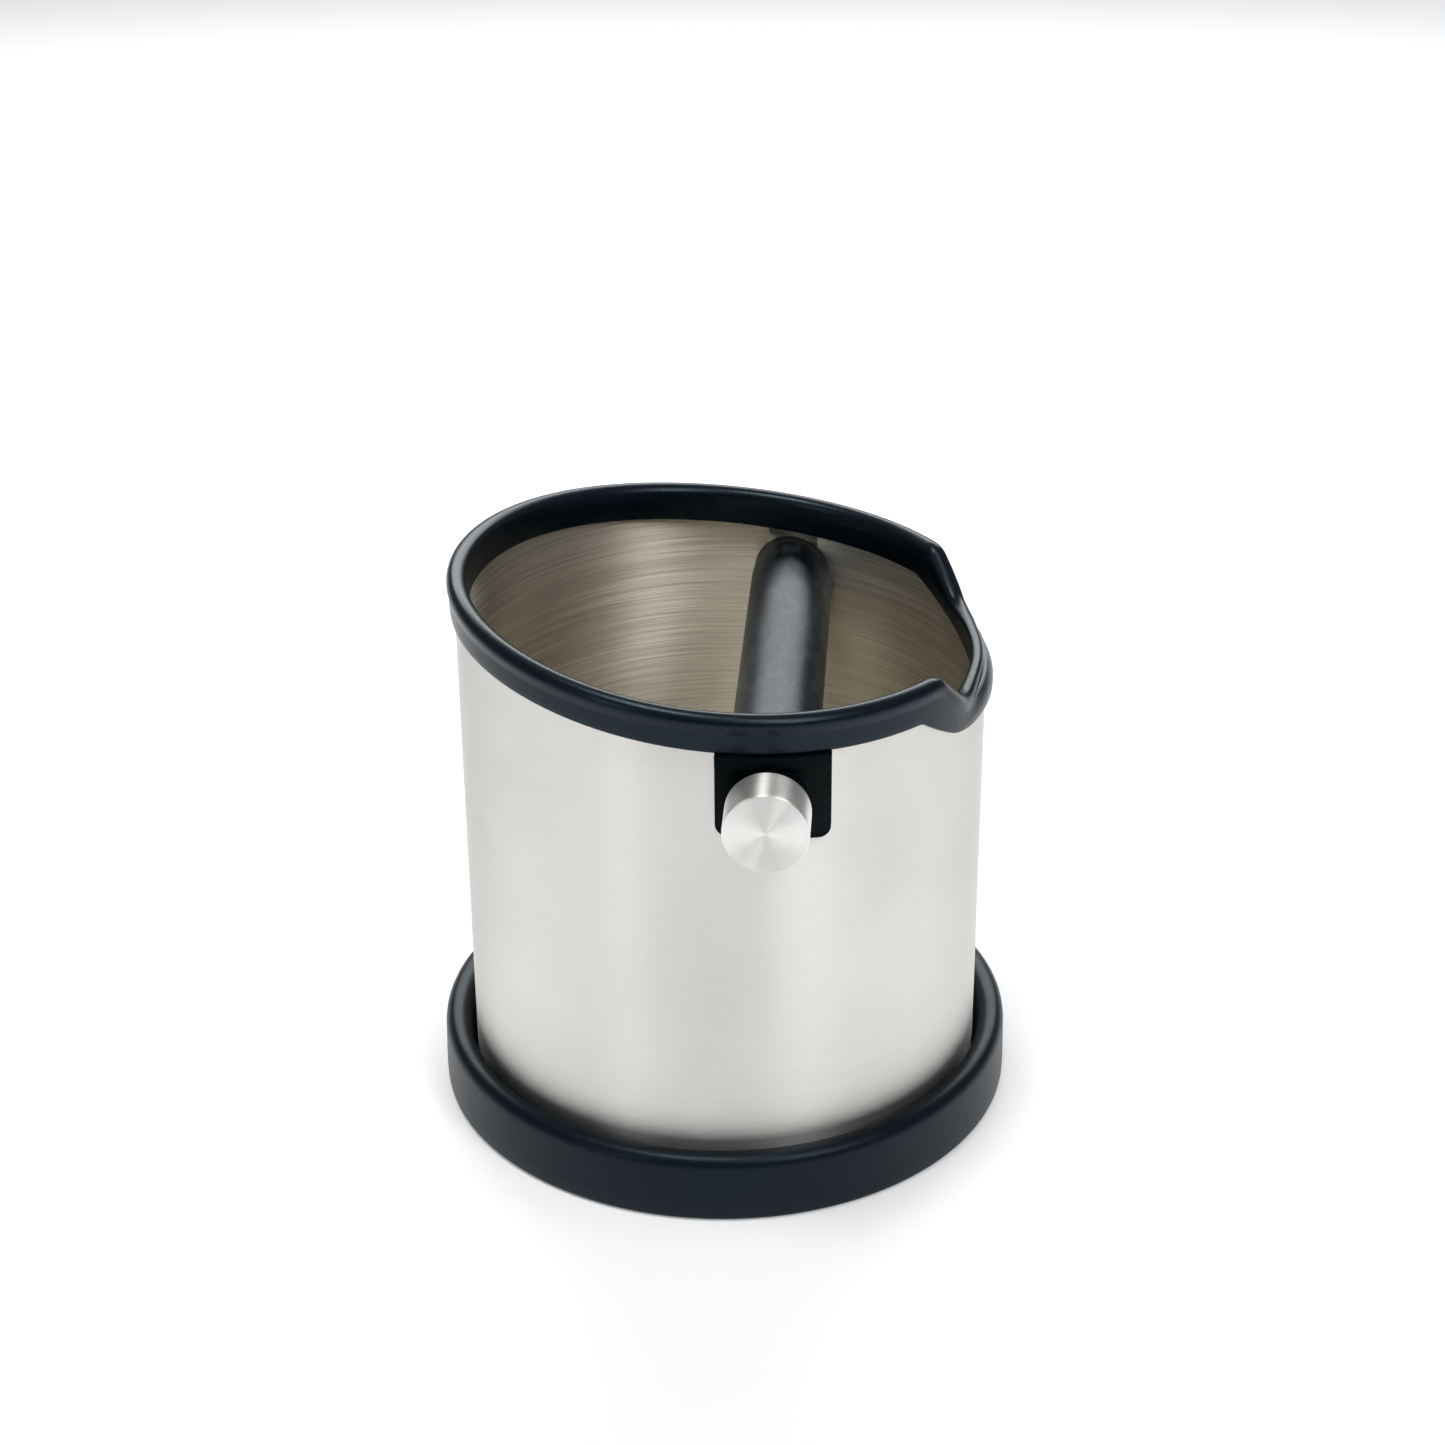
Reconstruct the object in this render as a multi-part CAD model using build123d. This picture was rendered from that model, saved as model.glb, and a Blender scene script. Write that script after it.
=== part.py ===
from build123d import *
import math
import os

# Espresso knock box: a round steel can with a slanted mouth and a pouring spout, a rubber rim,
# a rubber-sleeved knock bar held by two turned knobs, and a rubber boot that it stands in.
#
# Frame: origin at the centre of the boot's underside, +Z up, +X towards the spout (the low side),
# Y along the knock bar. "front" is the -Y end of the bar and "rear" is the +Y end. Millimetres.

# --- Driving dimensions ---------------------------------------------------------------------

# Steel can
CAN_R = 75.0
SHEET = 1.0
FLOOR_THICKNESS = 1.2
FLOOR_RAISE = 0.8
FLOOR_RING_R = 52.0
FLOOR_RING_WIDTH = 6.0
FLOOR_RING_RISE = 0.8

# Slanted mouth: the height of the rim's top, seen from the side
MOUTH_LEFT = (-80.0, 165.7)
MOUTH_BEND = (0.0, 154.9)
SPOUT_CREST = (60.5, 150.8)
SPOUT_FOOT = (67.0, 141.2)
SPOUT_END = (80.0, 141.6)
MOUTH_BEND_R = 1000.0
SPOUT_CREST_R = 2.4
SPOUT_FOOT_R = 5.0

# Rubber rim: an upside-down U over the edge of the can
RIM_OUTER_R = 77.2
RIM_INNER_R = 71.0
RIM_DEPTH = 10.4
RIM_SKIRT_DEPTH = 10.9
RIM_CROWN = 3.4
RIM_SLOT_CLEARANCE = 0.3
RIM_EDGE_R = 2.0

# Spout: the rim's outer face drops in a rounded lobe, and its inner skirt in a shallow V
LOBE_START = (58.2, 141.4)
LOBE_FOOT = (69.3, 130.4)
LOBE_END = (80.0, 130.4)
LOBE_START_R = 2.5
LOBE_FOOT_R = 8.0
SKIRT_START = (54.6, 141.0)
SKIRT_FOOT = (70.2, 130.2)
SKIRT_END = (80.0, 130.0)
SKIRT_START_R = 1.0
SKIRT_FOOT_R = 4.0

# Knock bar
BAR_X = 17.1
BAR_Z = 129.0
SLEEVE_R = 12.3
SLEEVE_HALF = 67.4
SLEEVE_EDGE = 0.8
ROD_R = 5.0
ROD_HALF = 77.0
ROD_FIT = 0.05
BUSH_R = 7.0
SPACER_R = 11.8
SPACER_START = 67.7

# Outer pads, one behind each knob
PAD_LEFT = 3.0
PAD_RIGHT = 33.4
PAD_BOTTOM_LEFT = 120.3
PAD_BOTTOM_RIGHT = 116.5
PAD_THICKNESS = 2.0
PAD_CORNER_R = 3.2
PAD_HEAD_HEIGHT = 4.2
PAD_HEAD_EXTRA = 0.5
PAD_TOP_GAP = 0.3
PAD_BOSS_R = 10.6
PAD_BOSS_FACE = 76.9

# Knobs and the studs that they turn on
KNOB_R = 11.5
KNOB_LENGTH = 12.6
KNOB_EDGE = 0.4
KNOB_BACK_BEVEL = 0.3
WASHER_R = 8.0
WASHER_BORE_R = 3.3
WASHER_THICKNESS = 0.8
STUD_R = 3.0
STUD_FIT = 0.05
STUD_REACH = 11.0
STUD_IN_KNOB = 8.0
TAPPED_DEPTH = 14.0
STUD_EDGE = 0.5

# Boot
BOOT_R = 84.5
BOOT_DRAFT = 0.4
BOOT_HEIGHT = 20.5
BOOT_LIP_R = 77.2
BOOT_THROAT_R = 75.8
BOOT_SEAT_R = 75.4
BOOT_SEAT_HEIGHT = 9.5
BOOT_SEAT_SLOPE = 0.8
BOOT_FLOOR = 5.0
BOOT_LIP_ROUND = 3.3
BOOT_FOOT_ROUND = 1.2
SEAT_GAP = 0.1
FOOT_RECESS = 1.0
FOOT_RINGS = ((20.0, 28.0), (44.0, 52.0), (68.0, 81.0))

# --- Derived values -------------------------------------------------------------------------

CAN_BORE_R = CAN_R - SHEET
CAN_BOTTOM = BOOT_FLOOR + SEAT_GAP
CAN_FLOOR_Z = CAN_BOTTOM + FLOOR_RAISE
MOUTH_POINTS = (MOUTH_LEFT, MOUTH_BEND, SPOUT_CREST, SPOUT_FOOT, SPOUT_END)
SLOT_DROP = RIM_CROWN - RIM_SLOT_CLEARANCE
LEG_INNER_R = CAN_BORE_R - RIM_SLOT_CLEARANCE
LEG_OUTER_R = CAN_R + RIM_SLOT_CLEARANCE
PAD_R = CAN_R + PAD_THICKNESS
WASHER_START = ROD_HALF
KNOB_START = WASHER_START + WASHER_THICKNESS
KNOB_END = KNOB_START + KNOB_LENGTH
REACH = 100.0
BAND_LOW = 100.0
BAND_HIGH = 170.0

MID_LOW = (Align.CENTER, Align.CENTER, Align.MIN)


# --- Helpers --------------------------------------------------------------------------------

def upright(radius, low, high):
    """A solid cylinder on the can's axis."""
    return Pos(0, 0, low) * Cylinder(radius, high - low, align=MID_LOW)


def upright_tube(outer, inner, low, high):
    """A tube on the can's axis."""
    return upright(outer, low, high) - upright(inner, low - 1, high + 1)


def cross(radius, near, far):
    """A solid cylinder on the knock bar's axis, from y = near to y = far."""
    return Pos(BAR_X, near, BAR_Z) * Rot(-90, 0, 0) * Cylinder(radius, far - near, align=MID_LOW)


def cross_tube(outer, inner, near, far):
    """A tube on the knock bar's axis."""
    return cross(outer, near, far) - cross(inner, near - 1, far + 1)


def at_front(shape):
    """The same piece at the front end of the bar."""
    return mirror(shape, about=Plane.XZ)


def mouth_line(drop):
    """The mouth's side outline with its round bends, lowered by drop."""
    lowered = [(x, z - drop) for x, z in MOUTH_POINTS]
    return FilletPolyline(*lowered, radius=[MOUTH_BEND_R, SPOUT_CREST_R, SPOUT_FOOT_R])


def rim_lower_line(depth, spout_points, spout_radii):
    """A lower edge of the rim: parallel to its top, and then down round the spout."""
    left = (MOUTH_LEFT[0], MOUTH_LEFT[1] - depth)
    bend = (MOUTH_BEND[0], MOUTH_BEND[1] - depth)
    return FilletPolyline(left, bend, *spout_points, radius=[MOUTH_BEND_R, *spout_radii])


def side_region(upper, lower):
    """The solid between two side outlines, wide enough to cut the whole can."""
    left = Line(upper @ 0, lower @ 0)
    right = Line(upper @ 1, lower @ 1)
    face = make_face(Curve() + [upper, right, lower, left])
    return extrude(Plane.XZ * face, amount=REACH, both=True)


def below_mouth(drop):
    """Everything under the slanted mouth line."""
    upper = mouth_line(drop)
    lower = Line((MOUTH_LEFT[0], 0), (SPOUT_END[0], 0))
    return side_region(upper, lower)


# --- Boot -----------------------------------------------------------------------------------

def make_boot():
    outline = make_face(Polyline(
        (0, 0),
        (BOOT_R, 0),
        (BOOT_R - BOOT_DRAFT, BOOT_HEIGHT),
        (BOOT_LIP_R, BOOT_HEIGHT),
        (BOOT_THROAT_R, BOOT_SEAT_HEIGHT + BOOT_SEAT_SLOPE),
        (BOOT_SEAT_R, BOOT_SEAT_HEIGHT),
        (BOOT_SEAT_R, BOOT_FLOOR),
        (0, BOOT_FLOOR),
        close=True,
    ))
    lip = [v for v in outline.vertices() if abs(v.Y - BOOT_HEIGHT) < 0.01]
    outline = fillet(lip, BOOT_LIP_ROUND)
    foot = [v for v in outline.vertices() if v.Y < 0.01 and v.X > 1]
    outline = fillet(foot, BOOT_FOOT_ROUND)
    boot = revolve(Plane.XZ * outline, axis=Axis.Z)
    recess = upright(FOOT_RINGS[-1][1], -1, FOOT_RECESS)
    for inner, outer in FOOT_RINGS:
        recess -= upright_tube(outer, inner, -2, FOOT_RECESS + 1)
    return boot - recess


# --- Can ------------------------------------------------------------------------------------

def make_can_wall():
    wall = upright_tube(CAN_R, CAN_BORE_R, CAN_BOTTOM, MOUTH_LEFT[1]) & below_mouth(RIM_CROWN)
    return wall - cross(BUSH_R, -REACH, REACH)


def make_can_floor():
    """The pressed bottom disc, with a raised stiffening ring."""
    top = CAN_FLOOR_Z + FLOOR_THICKNESS
    disc = upright(CAN_BORE_R, CAN_FLOOR_Z, top)
    ring = upright_tube(FLOOR_RING_R + FLOOR_RING_WIDTH, FLOOR_RING_R, CAN_FLOOR_Z, top + FLOOR_RING_RISE)
    ring_edges = ring.edges().filter_by(GeomType.CIRCLE).group_by(Axis.Z)[-1]
    return disc + chamfer(ring_edges, FLOOR_RING_RISE * 0.9)


# --- Rim ------------------------------------------------------------------------------------

def make_rim():
    lobe = rim_lower_line(RIM_DEPTH, (LOBE_START, LOBE_FOOT, LOBE_END), (LOBE_START_R, LOBE_FOOT_R))
    skirt = rim_lower_line(
        RIM_SKIRT_DEPTH, (SKIRT_START, SKIRT_FOOT, SKIRT_END), (SKIRT_START_R, SKIRT_FOOT_R))
    outer = upright_tube(RIM_OUTER_R, CAN_R, BAND_LOW, BAND_HIGH) & side_region(mouth_line(0), lobe)
    inner = upright_tube(CAN_R, RIM_INNER_R, BAND_LOW, BAND_HIGH) & side_region(mouth_line(0), skirt)
    band = round_rim_top(outer + inner)
    slot = upright_tube(LEG_OUTER_R, LEG_INNER_R, BAND_LOW, BAND_HIGH) & below_mouth(SLOT_DROP)
    return band - slot


def height_on(points, x):
    """The height of a side outline's straight runs at x."""
    for (x0, z0), (x1, z1) in zip(points, points[1:]):
        if x0 <= x <= x1:
            return z0 + (z1 - z0) * (x - x0) / (x1 - x0)
    raise ValueError("x is outside the outline")


def round_rim_top(band):
    """Rounds the two long edges along the rim's crown."""
    crown = []
    for edge in band.edges():
        middle = edge @ 0.5
        radius = math.hypot(middle.X, middle.Y)
        on_wall = min(abs(radius - RIM_OUTER_R), abs(radius - RIM_INNER_R)) < 0.01
        is_seam = abs(edge.tangent_at(0.5).Z) > 0.99
        near_top = middle.Z > height_on(MOUTH_POINTS, middle.X) - RIM_CROWN
        if on_wall and not is_seam and near_top:
            crown.append(edge)
    return fillet(crown, RIM_EDGE_R)


# --- Outer pads -----------------------------------------------------------------------------

def make_rear_pad():
    """A rubber saddle on the can's outside, with a thicker head right under the rim.

    A round boss squares up the curved face, so that the flat back of the knob has a seat.
    """
    shell = upright_tube(PAD_R, CAN_R, BAND_LOW, BAND_HIGH)
    head_shell = upright_tube(PAD_R + PAD_HEAD_EXTRA, CAN_R, BAND_LOW, BAND_HIGH)
    face = make_face(Polyline(
        (PAD_LEFT, PAD_BOTTOM_LEFT),
        (PAD_RIGHT, PAD_BOTTOM_RIGHT),
        (PAD_RIGHT, BAND_HIGH),
        (PAD_LEFT, BAND_HIGH),
        close=True,
    ))
    low_corners = [v for v in face.vertices() if v.Y < BAND_HIGH - 1]
    outline = extrude(Plane.XZ * fillet(low_corners, PAD_CORNER_R), amount=-REACH)
    under_rim = below_mouth(RIM_DEPTH + PAD_TOP_GAP)
    above_head = below_mouth(RIM_DEPTH + PAD_TOP_GAP + PAD_HEAD_HEIGHT)
    pad = shell & outline & under_rim
    head = (head_shell & outline & under_rim) - above_head
    boss = cross(PAD_BOSS_R, CAN_R / 2, PAD_BOSS_FACE) - upright(CAN_R, BAND_LOW, BAND_HIGH)
    return pad + head + boss - cross(BUSH_R, 0, REACH)


# --- Bar carriers through the wall ------------------------------------------------------------

def make_rear_spacer():
    """A saddle spacer that fills the slanted gap between the sleeve's end and the curved wall."""
    blank = cross_tube(SPACER_R, BUSH_R, SPACER_START, CAN_R)
    return blank & upright(CAN_BORE_R, BAND_LOW, BAND_HIGH)


def make_rear_bush():
    return cross_tube(BUSH_R, ROD_R + ROD_FIT, SPACER_START, ROD_HALF)


# --- Knock bar ------------------------------------------------------------------------------

def make_rod():
    rod = cross(ROD_R, -ROD_HALF, ROD_HALF)
    tapped = cross(STUD_R + STUD_FIT, ROD_HALF - TAPPED_DEPTH, REACH)
    return rod - tapped - at_front(tapped)


def make_sleeve():
    sleeve = cross(SLEEVE_R, -SLEEVE_HALF, SLEEVE_HALF)
    sleeve = chamfer(sleeve.edges().filter_by(GeomType.CIRCLE), SLEEVE_EDGE)
    return sleeve - cross(ROD_R, -REACH, REACH)


# --- Knobs ----------------------------------------------------------------------------------

def make_rear_knob():
    knob = cross(KNOB_R, KNOB_START, KNOB_END)
    ends = knob.edges().filter_by(GeomType.CIRCLE).group_by(Axis.Y)
    knob = chamfer(ends[-1], KNOB_EDGE)
    back = knob.edges().filter_by(GeomType.CIRCLE).group_by(Axis.Y)[0]
    knob = chamfer(back, KNOB_BACK_BEVEL)
    return knob - cross(STUD_R, KNOB_START - 1, KNOB_START + STUD_IN_KNOB)


def make_rear_stud():
    stud = cross(STUD_R, ROD_HALF - STUD_REACH, KNOB_START + STUD_IN_KNOB)
    return chamfer(stud.edges().filter_by(GeomType.CIRCLE), STUD_EDGE)


def make_rear_washer():
    return cross_tube(WASHER_R, WASHER_BORE_R, WASHER_START, KNOB_START)


# --- Write every piece ------------------------------------------------------------------------

def one_solid(name, shape):
    solids = shape.solids()
    if len(solids) != 1:
        print(name, "has", len(solids), "solids")
    return solids[0]


pieces = {
    "base_boot": make_boot(),
    "can_wall": make_can_wall(),
    "can_floor": make_can_floor(),
    "rubber_rim": make_rim(),
    "bar_rod": make_rod(),
    "bar_sleeve": make_sleeve(),
}
end_pieces = {
    "pad": make_rear_pad(),
    "spacer": make_rear_spacer(),
    "bush": make_rear_bush(),
    "knob": make_rear_knob(),
    "stud": make_rear_stud(),
    "washer": make_rear_washer(),
}
for name, shape in end_pieces.items():
    pieces["rear_" + name] = shape
    pieces["front_" + name] = at_front(shape)

os.makedirs("parts", exist_ok=True)
for name, shape in pieces.items():
    export_step(one_solid(name, shape), f"parts/{name}.step")
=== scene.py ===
import bpy
import bmesh
import math
from mathutils import Matrix, Vector


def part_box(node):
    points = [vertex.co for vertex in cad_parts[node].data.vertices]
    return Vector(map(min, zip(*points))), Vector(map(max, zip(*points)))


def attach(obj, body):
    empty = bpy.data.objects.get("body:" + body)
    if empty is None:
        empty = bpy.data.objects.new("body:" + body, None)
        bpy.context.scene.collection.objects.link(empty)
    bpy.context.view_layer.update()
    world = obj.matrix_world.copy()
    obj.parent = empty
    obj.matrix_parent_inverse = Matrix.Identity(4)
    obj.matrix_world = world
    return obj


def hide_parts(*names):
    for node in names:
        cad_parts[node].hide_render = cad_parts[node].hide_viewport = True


# Looks of the espresso knock box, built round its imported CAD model. Metres, +Z up, +X to the spout.

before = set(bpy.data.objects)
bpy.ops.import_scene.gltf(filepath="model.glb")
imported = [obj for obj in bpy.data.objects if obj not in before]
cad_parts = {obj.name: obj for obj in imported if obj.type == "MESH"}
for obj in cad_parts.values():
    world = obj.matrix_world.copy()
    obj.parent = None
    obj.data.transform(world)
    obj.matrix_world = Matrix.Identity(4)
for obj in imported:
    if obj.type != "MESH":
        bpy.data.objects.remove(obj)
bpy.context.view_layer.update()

MM = 0.001
TURN = 2 * math.pi

# --- Sizes read from the frame ------------------------------------------------------------------

WALL_LOW, WALL_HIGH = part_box("can_wall")
_, BOOT_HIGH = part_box("base_boot")
FLOOR_LOW, FLOOR_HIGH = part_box("can_floor")
ROD_LOW, ROD_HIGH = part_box("bar_rod")
SLEEVE_LOW, SLEEVE_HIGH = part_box("bar_sleeve")
PAD_LOW, PAD_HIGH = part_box("rear_pad")
KNOB_LOW, KNOB_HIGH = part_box("rear_knob")
STUD_LOW, STUD_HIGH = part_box("rear_stud")
WASHER_LOW, WASHER_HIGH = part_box("rear_washer")

CAN_R = WALL_HIGH.x
SHEET = 1.0 * MM
CAN_BORE_R = CAN_R - SHEET
BAR_X = (ROD_LOW.x + ROD_HIGH.x) / 2
BAR_Z = (ROD_LOW.z + ROD_HIGH.z) / 2
ROD_R = (ROD_HIGH.x - ROD_LOW.x) / 2
SLEEVE_R = (SLEEVE_HIGH.x - SLEEVE_LOW.x) / 2
KNOB_R = (KNOB_HIGH.x - KNOB_LOW.x) / 2
STUD_R = (STUD_HIGH.x - STUD_LOW.x) / 2
WASHER_R = (WASHER_HIGH.x - WASHER_LOW.x) / 2

# --- Mesh helpers -------------------------------------------------------------------------------

WELD_DISTANCE = 1e-7
TOOL_SEGMENTS = 96

# A corner whose half angle is wider than this gets a short straight run in place of an arc.
NEARLY_STRAIGHT = math.radians(89.7)
STRAIGHT_SHARE = 0.05


def arc_corner(before, corner, after, radius, steps):
    """Points of the arc that rounds a corner between two straight runs."""
    corner = Vector(corner)
    back = (Vector(before) - corner).normalized()
    ahead = (Vector(after) - corner).normalized()
    half = back.angle(ahead) / 2
    if half > NEARLY_STRAIGHT:
        reach = STRAIGHT_SHARE * radius
        return [
            corner + (back * (steps - step) + ahead * step) * reach / steps
            for step in range(steps + 1)
        ]
    reach = radius / math.tan(half)
    centre = corner + (back + ahead).normalized() * (radius / math.sin(half))
    start = corner + back * reach - centre
    end = corner + ahead * reach - centre
    sweep = start.angle(end)
    points = []
    for step in range(steps + 1):
        share = step / steps
        blend = (start * math.sin((1 - share) * sweep) + end * math.sin(share * sweep)) / math.sin(sweep)
        points.append(centre + blend)
    return points


def rounded(corners, steps=6, closed=False):
    """An outline from corners (a, b, radius), with each corner rounded by an arc."""
    outline = []
    count = len(corners)
    for index, (a, b, radius) in enumerate(corners):
        at_end = index in (0, count - 1) and not closed
        if at_end or radius <= 0:
            outline.append(Vector((a, b)))
            continue
        before = corners[index - 1][:2]
        after = corners[(index + 1) % count][:2]
        outline.extend(arc_corner(before, (a, b), after, radius, steps))
    return outline


def smooth(mesh):
    """Smooth shading on every face."""
    mesh.polygons.foreach_set("use_smooth", [True] * len(mesh.polygons))


def keep_sharp(piece, degrees):
    """Smooth shading except across edges sharper than an angle."""
    mesh = piece.data
    work = bmesh.new()
    work.from_mesh(mesh)
    limit = math.radians(degrees)
    for edge in work.edges:
        edge.smooth = len(edge.link_faces) != 2 or edge.calc_face_angle(0) < limit
    work.to_mesh(mesh)
    work.free()


def finished_mesh(name, verts, faces):
    """A smooth-shaded mesh object with outward normals."""
    mesh = bpy.data.meshes.new(name)
    mesh.from_pydata([tuple(v) for v in verts], [], faces)
    mesh.validate()
    work = bmesh.new()
    work.from_mesh(mesh)
    bmesh.ops.remove_doubles(work, verts=work.verts, dist=WELD_DISTANCE)
    bmesh.ops.recalc_face_normals(work, faces=work.faces)
    work.to_mesh(mesh)
    work.free()
    smooth(mesh)
    piece = bpy.data.objects.new(name, mesh)
    bpy.context.scene.collection.objects.link(piece)
    return piece


def grid_faces(rows, columns, wrap_rows, wrap_columns):
    """Quads joining a grid of vertices numbered row by row."""
    faces = []
    for row in range(rows if wrap_rows else rows - 1):
        for column in range(columns if wrap_columns else columns - 1):
            next_row = (row + 1) % rows
            next_column = (column + 1) % columns
            faces.append((
                row * columns + column,
                row * columns + next_column,
                next_row * columns + next_column,
                next_row * columns + column,
            ))
    return faces


def lathe(name, outline, segments=192, closed=False):
    """Turns an outline of (radius, height) about Z. Ends at radius 0 close to a point."""
    verts = []
    for step in range(segments):
        angle = TURN * step / segments
        for radius, height in outline:
            verts.append((radius * math.cos(angle), radius * math.sin(angle), height))
    faces = grid_faces(segments, len(outline), True, closed)
    return finished_mesh(name, verts, faces)


def onto_bar(piece):
    """Stands a piece turned about Z onto the knock bar's axis: its +Z becomes +Y."""
    turn = Matrix.Rotation(-math.pi / 2, 4, "X")
    piece.data.transform(Matrix.Translation((BAR_X, 0, BAR_Z)) @ turn)
    return piece


def at_front(piece, name):
    """A copy of a rear piece, mirrored to the front end of the bar."""
    mesh = piece.data.copy()
    mesh.transform(Matrix.Scale(-1, 4, (0, 1, 0)))
    mesh.flip_normals()
    mesh.name = name
    copy = bpy.data.objects.new(name, mesh)
    bpy.context.scene.collection.objects.link(copy)
    return copy


def apply_modifiers(piece):
    """Makes what the modifiers show the piece's own mesh."""
    graph = bpy.context.evaluated_depsgraph_get()
    mesh = bpy.data.meshes.new_from_object(piece.evaluated_get(graph))
    piece.modifiers.clear()
    piece.data = mesh
    return piece


def cut_or_join(piece, tool, operation):
    """Applies an exact boolean with tool, and removes the tool."""
    modifier = piece.modifiers.new("cut", "BOOLEAN")
    modifier.operation = operation
    modifier.solver = "EXACT"
    modifier.object = tool
    apply_modifiers(piece)
    bpy.data.objects.remove(tool)
    return piece


def cylinder_tool(radius, low, high, segments=TOOL_SEGMENTS):
    """A plain cylinder about Z, for boolean cuts."""
    return lathe("tool", [(0, low), (radius, low), (radius, high), (0, high)], segments)


def dress(piece, body, slot, node, *materials):
    """Gives a piece its body and materials, and hides its CAD node."""
    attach(piece, body)
    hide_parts(node)
    piece.data.materials.clear()
    for material in materials:
        piece.data.materials.append(material)
    return piece


# --- Material helpers ---------------------------------------------------------------------------

BRUSHING_DEPTH = 0.004 * MM
TURNING_DEPTH = 0.006 * MM
SKIN_DEPTH = 0.010 * MM


def maths_node(tree, operation, first, second=0.0):
    """A maths node on two values, each a number or a socket."""
    node = tree.nodes.new("ShaderNodeMath")
    node.operation = operation
    for socket, value in zip(node.inputs, (first, second)):
        if isinstance(value, (int, float)):
            socket.default_value = value
        else:
            tree.links.new(value, socket)
    return node.outputs["Value"]


def scaled(colour, share):
    """A colour made darker or lighter, each channel at most 1."""
    return tuple(min(1.0, channel * share) for channel in colour)


class Shader:
    """A material with a Principled shader, and short calls for the nodes it uses."""

    def __init__(self, name, colour, roughness, metallic=0.0):
        self.material = bpy.data.materials.new(name)
        self.material.use_nodes = True
        self.nodes = self.material.node_tree.nodes
        self.links = self.material.node_tree.links
        self.surface = self.nodes["Principled BSDF"]
        self.set("Base Color", (*colour, 1.0))
        self.set("Roughness", roughness)
        self.set("Metallic", metallic)
        self.place = self.nodes.new("ShaderNodeTexCoord").outputs["Object"]

    def set(self, socket, value):
        self.surface.inputs[socket].default_value = value

    def link(self, source, socket):
        self.links.new(source, self.surface.inputs[socket])

    def stretched(self, scale):
        """Object coordinates scaled by different amounts along X, Y and Z, in 1/m."""
        node = self.nodes.new("ShaderNodeMapping")
        node.inputs["Scale"].default_value = scale
        self.links.new(self.place, node.inputs["Vector"])
        return node.outputs["Vector"]

    def noise_at(self, vector, detail, roughness=0.5):
        """Noise with one feature to each unit of a vector."""
        node = self.nodes.new("ShaderNodeTexNoise")
        self.links.new(vector, node.inputs["Vector"])
        node.inputs["Scale"].default_value = 1.0
        node.inputs["Detail"].default_value = detail
        node.inputs["Roughness"].default_value = roughness
        return node.outputs["Fac"]

    def noise(self, scale, detail, roughness=0.5):
        """Noise at so many features per metre; scale may be one number or three."""
        scales = scale if isinstance(scale, tuple) else (scale, scale, scale)
        return self.noise_at(self.stretched(scales), detail, roughness)

    def ramp(self, source, low, high, to_low=0.0, to_high=1.0):
        """Maps source from low..high to to_low..to_high, clamped."""
        node = self.nodes.new("ShaderNodeMapRange")
        node.inputs["From Min"].default_value = low
        node.inputs["From Max"].default_value = high
        node.inputs["To Min"].default_value = to_low
        node.inputs["To Max"].default_value = to_high
        self.links.new(source, node.inputs["Value"])
        return node.outputs["Result"]

    def mix(self, factor, first, second):
        """A colour between two colours."""
        node = self.nodes.new("ShaderNodeMix")
        node.data_type = "RGBA"
        self.links.new(factor, node.inputs["Factor"])
        colour_sockets = [s for s in node.inputs if s.type == "RGBA"]
        for socket, colour in zip(colour_sockets, (first, second)):
            if isinstance(colour, tuple):
                socket.default_value = (*colour, 1.0)
            else:
                self.links.new(colour, socket)
        return [s for s in node.outputs if s.type == "RGBA"][0]

    def maths(self, operation, first, second=0.0):
        return maths_node(self.material.node_tree, operation, first, second)

    def bump(self, height, depth, strength=1.0):
        """Bump of a real depth in metres."""
        node = self.nodes.new("ShaderNodeBump")
        node.inputs["Strength"].default_value = strength
        node.inputs["Distance"].default_value = depth
        self.links.new(height, node.inputs["Height"])
        self.link(node.outputs["Normal"], "Normal")

    def brushed_round(self, axis, amount):
        """Anisotropic gloss for brushing or turning about an axis: it spreads across the lines."""
        node = self.nodes.new("ShaderNodeTangent")
        node.direction_type = "RADIAL"
        node.axis = axis
        self.link(node.outputs["Tangent"], "Tangent")
        self.set("Anisotropic", amount)
        self.set("Anisotropic Rotation", 0.25)


def brushed_can_steel(name, tint, roughness, contrast, unevenness, edge, spread, fine, broad):
    """Sheet steel brushed round the can: long fine lines, with broader uneven bands.

    Contrast is how far the lines go darker and lighter than the tint, and a small spread makes
    them harder. Unevenness is how far their roughness varies. Edge is how bright the steel stays
    at grazing angles. Fine and broad are features per metre along X, Y and Z.
    """
    steel = Shader(name, tint, roughness, metallic=1.0)
    fine_lines = steel.noise(fine, detail=3.0, roughness=0.65)
    broad_lines = steel.noise(broad, detail=2.0)
    blotch = steel.noise(22, detail=2.0)
    lines = steel.maths(
        "ADD",
        steel.maths("MULTIPLY", fine_lines, 0.6),
        steel.maths("MULTIPLY", broad_lines, 0.4),
    )
    shade = steel.ramp(lines, 0.5 - spread, 0.5 + spread)
    dark = scaled(tint, 1 - contrast)
    light = scaled(tint, min(1 + contrast, 1 / max(tint)))
    steel.link(steel.mix(shade, dark, light), "Base Color")
    steel.set("Specular Tint", (edge, edge, edge, 1.0))
    line_roughness = steel.ramp(lines, 0.3, 0.7, roughness - unevenness, roughness + unevenness)
    blotch_roughness = steel.ramp(blotch, 0.35, 0.65, -0.02, 0.02)
    steel.link(steel.maths("ADD", line_roughness, blotch_roughness), "Roughness")
    steel.brushed_round("Z", 0.88)
    steel.bump(fine_lines, BRUSHING_DEPTH)
    return steel.material


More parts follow.
